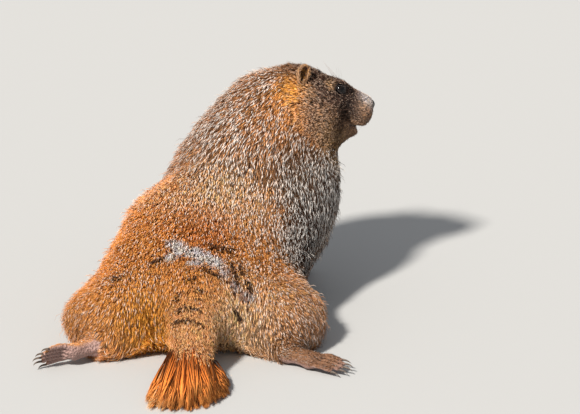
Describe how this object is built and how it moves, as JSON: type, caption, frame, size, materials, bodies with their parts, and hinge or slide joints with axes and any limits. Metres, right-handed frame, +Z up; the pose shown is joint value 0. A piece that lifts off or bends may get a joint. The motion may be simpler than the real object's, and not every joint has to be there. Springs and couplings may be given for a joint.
{
  "type": "yellow-bellied marmot",
  "caption": "Life-size marmot lying with its hind legs spread, chest raised on the forelegs and head turned to its right, with a rusty grizzled coat and a spread tail brush.",
  "frame": {"origin": "middle of the bounding box, on the floor", "axes": "+Z up, +Y the way the body points from tail to chest, +X to the animal's right"},
  "size_m": [0.3598, 0.453, 0.2435],
  "materials": {
    "rusty_coat": "dense fur, rusty gold with pale tips",
    "grizzled_coat": "dense fur, rusty brown grizzled with white tips",
    "face_coat": "short fur, dark brown",
    "brush_coat": "long coarse fur, russet",
    "foot_skin": "bare skin and thin short fur, mauve brown",
    "nose": "bare nose skin, dark",
    "claw": "horn, dark",
    "eye": "glossy, dark brown"
  },
  "bodies": {
    "root": {"chest": "grizzled_coat", "ear_left": "face_coat", "ear_right": "face_coat", "eye_left": "eye", "eye_right": "eye", "fore_claw_left_1": "claw", "fore_claw_left_2": "claw", "fore_claw_left_3": "claw", "fore_claw_left_4": "claw", "fore_claw_right_1": "claw", "fore_claw_right_2": "claw", "fore_claw_right_3": "claw", "fore_claw_right_4": "claw", "forearm_left": "grizzled_coat", "forearm_right": "grizzled_coat", "forepaw_left": "foot_skin", "forepaw_right": "foot_skin", "head": "face_coat", "hind_claw_left_1": "claw", "hind_claw_left_2": "claw", "hind_claw_left_3": "claw", "hind_claw_left_4": "claw", "hind_claw_left_5": "claw", "hind_claw_right_1": "claw", "hind_claw_right_2": "claw", "hind_claw_right_3": "claw", "hind_claw_right_4": "claw", "hind_claw_right_5": "claw", "hind_foot_left": "foot_skin", "hind_foot_right": "foot_skin", "lower_jaw": "face_coat", "neck": "grizzled_coat", "nose_pad": "nose", "rump": "rusty_coat", "shank_left": "rusty_coat", "shank_right": "rusty_coat", "tail_brush": "brush_coat", "tail_root": "rusty_coat", "thigh_left": "rusty_coat", "thigh_right": "rusty_coat", "torso": "rusty_coat", "upper_arm_left": "grizzled_coat", "upper_arm_right": "grizzled_coat"}
  },
  "joints": []
}
